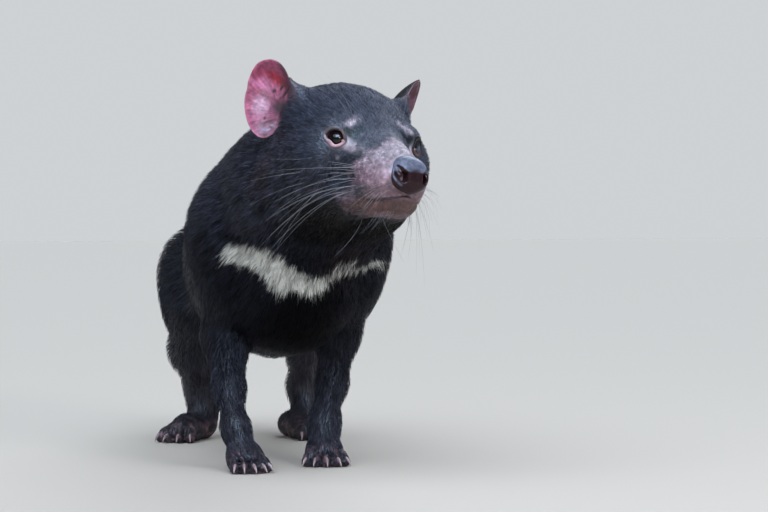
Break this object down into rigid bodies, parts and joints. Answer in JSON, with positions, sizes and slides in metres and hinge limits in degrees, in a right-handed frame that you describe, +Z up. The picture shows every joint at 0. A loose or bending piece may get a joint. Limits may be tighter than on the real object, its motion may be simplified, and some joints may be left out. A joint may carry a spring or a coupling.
{
  "type": "tasmanian devil",
  "caption": "Life-size still model of a Tasmanian devil standing on its feet, black coat with a white chest band, pink ears, head turned to its left.",
  "frame": {"origin": "bottom centre of the whole animal's box, on the floor it stands on", "axes": "+Z up; the trunk lies along Y with the head towards -Y; the animal's left side is +X"},
  "size_m": [0.1762, 0.6004, 0.3219],
  "materials": {
    "coat": "short black fur with a soft sheen",
    "paw_skin": "dark purplish bare skin with pale claws",
    "ear_skin": "thin pink bare skin",
    "nose_skin": "moist dark bare skin",
    "eye": "wet gloss"
  },
  "bodies": {
    "root": {"torso": "coat", "neck": "coat", "head": "coat", "tail": "coat", "upper_arm_left": "coat", "upper_arm_right": "coat", "forearm_left": "coat", "forearm_right": "coat", "thigh_left": "coat", "thigh_right": "coat", "shank_left": "coat", "shank_right": "coat", "forepaw_left": "paw_skin", "forepaw_right": "paw_skin", "hindfoot_left": "paw_skin", "hindfoot_right": "paw_skin", "ear_left": "ear_skin", "ear_right": "ear_skin", "nose": "nose_skin", "eye_left": "eye", "eye_right": "eye"}
  },
  "joints": []
}
